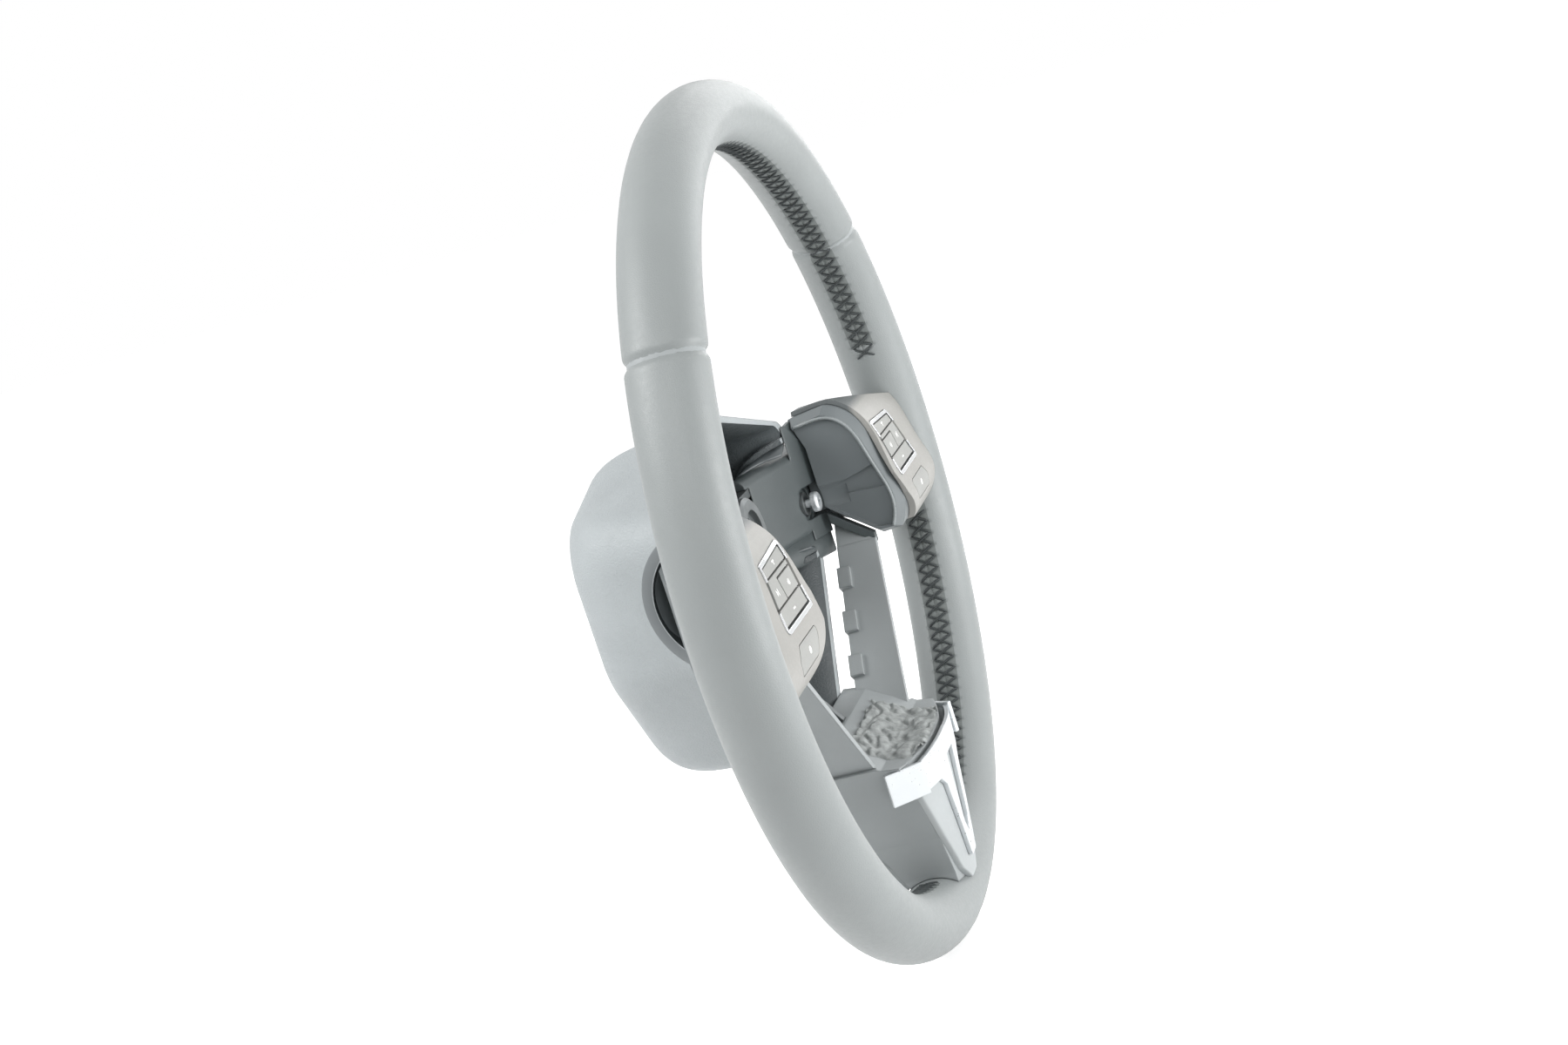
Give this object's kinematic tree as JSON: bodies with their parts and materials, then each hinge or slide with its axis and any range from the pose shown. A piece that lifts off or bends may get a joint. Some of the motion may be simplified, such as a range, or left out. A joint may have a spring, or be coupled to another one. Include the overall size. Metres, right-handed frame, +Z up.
{
  "type": "car steering wheel",
  "caption": "Leather-wrapped car steering wheel with cast armature, switch pods with pressing keys, silver lower spoke trim and rear cover, without its airbag.",
  "frame": {"origin": "centre of the plain bore in the back of the hub, where the column's shaft seats", "axes": "+Y along the steering axis from the driver to the column, +X to the driver's right, +Z up with the wheel straight"},
  "size_m": [0.376, 0.1172, 0.376],
  "materials": {
    "cast_alloy": "die cast, matt",
    "rim_foam": "moulded foam, matt",
    "leather": "smooth fine grain, satin",
    "surround_foam": "moulded, matt",
    "light_plastic": "fine texture, matt",
    "satin_trim": "satin plated",
    "grained_plastic": "leather grain, matt",
    "screw_steel": "zinc plated",
    "ring_steel": "bare tube",
    "dark_plastic": "moulded, satin",
    "bezel_plastic": "painted, soft matt",
    "chrome": "bright plated",
    "circuit_board": "solder mask",
    "spring_steel": "drawn wire",
    "key_plastic": "soft-touch paint"
  },
  "bodies": {
    "wheel": {"armature": "cast_alloy", "rim_ring": "ring_steel", "rim_foam": "rim_foam", "leather_upper": "leather", "leather_lower": "leather", "hub_surround": "surround_foam", "lower_spoke_cover": "light_plastic", "spoke_trim": "satin_trim", "rear_cover": "grained_plastic", "rear_cover_screws": "screw_steel", "right_spoke_foam": "surround_foam", "left_spoke_foam": "surround_foam", "right_pod_carrier": "dark_plastic", "left_pod_carrier": "dark_plastic", "right_pod_bezel": "bezel_plastic", "left_pod_bezel": "bezel_plastic", "right_key_frame": "chrome", "left_key_frame": "chrome", "right_switch_board": "circuit_board", "left_switch_board": "circuit_board", "right_pod_screw": "screw_steel", "left_pod_screw": "screw_steel", "right_airbag_spring": "spring_steel", "left_airbag_spring": "spring_steel"},
    "right_key_top": {"right_key_top": "key_plastic"},
    "right_key_bottom": {"right_key_bottom": "key_plastic"},
    "right_key_outer": {"right_key_outer": "key_plastic"},
    "right_key_inner": {"right_key_inner": "key_plastic"},
    "right_key_lower": {"right_key_lower": "key_plastic"},
    "left_key_top": {"left_key_top": "key_plastic"},
    "left_key_bottom": {"left_key_bottom": "key_plastic"},
    "left_key_outer": {"left_key_outer": "key_plastic"},
    "left_key_inner": {"left_key_inner": "key_plastic"},
    "left_key_lower": {"left_key_lower": "key_plastic"}
  },
  "joints": [
    {"name": "right_key_top_press", "type": "slide", "parent": "wheel", "child": "right_key_top", "axis": [0, 1, 0], "range_m": [0, 0.001], "stiffness_N_per_m": 1500},
    {"name": "right_key_bottom_press", "type": "slide", "parent": "wheel", "child": "right_key_bottom", "axis": [0, 1, 0], "range_m": [0, 0.001], "stiffness_N_per_m": 1500},
    {"name": "right_key_outer_press", "type": "slide", "parent": "wheel", "child": "right_key_outer", "axis": [0, 1, 0], "range_m": [0, 0.001], "stiffness_N_per_m": 1500},
    {"name": "right_key_inner_press", "type": "slide", "parent": "wheel", "child": "right_key_inner", "axis": [0, 1, 0], "range_m": [0, 0.001], "stiffness_N_per_m": 1500},
    {"name": "right_key_lower_press", "type": "slide", "parent": "wheel", "child": "right_key_lower", "axis": [0, 1, 0], "range_m": [0, 0.001], "stiffness_N_per_m": 1500},
    {"name": "left_key_top_press", "type": "slide", "parent": "wheel", "child": "left_key_top", "axis": [0, 1, 0], "range_m": [0, 0.001], "stiffness_N_per_m": 1500},
    {"name": "left_key_bottom_press", "type": "slide", "parent": "wheel", "child": "left_key_bottom", "axis": [0, 1, 0], "range_m": [0, 0.001], "stiffness_N_per_m": 1500},
    {"name": "left_key_outer_press", "type": "slide", "parent": "wheel", "child": "left_key_outer", "axis": [0, 1, 0], "range_m": [0, 0.001], "stiffness_N_per_m": 1500},
    {"name": "left_key_inner_press", "type": "slide", "parent": "wheel", "child": "left_key_inner", "axis": [0, 1, 0], "range_m": [0, 0.001], "stiffness_N_per_m": 1500},
    {"name": "left_key_lower_press", "type": "slide", "parent": "wheel", "child": "left_key_lower", "axis": [0, 1, 0], "range_m": [0, 0.001], "stiffness_N_per_m": 1500}
  ]
}
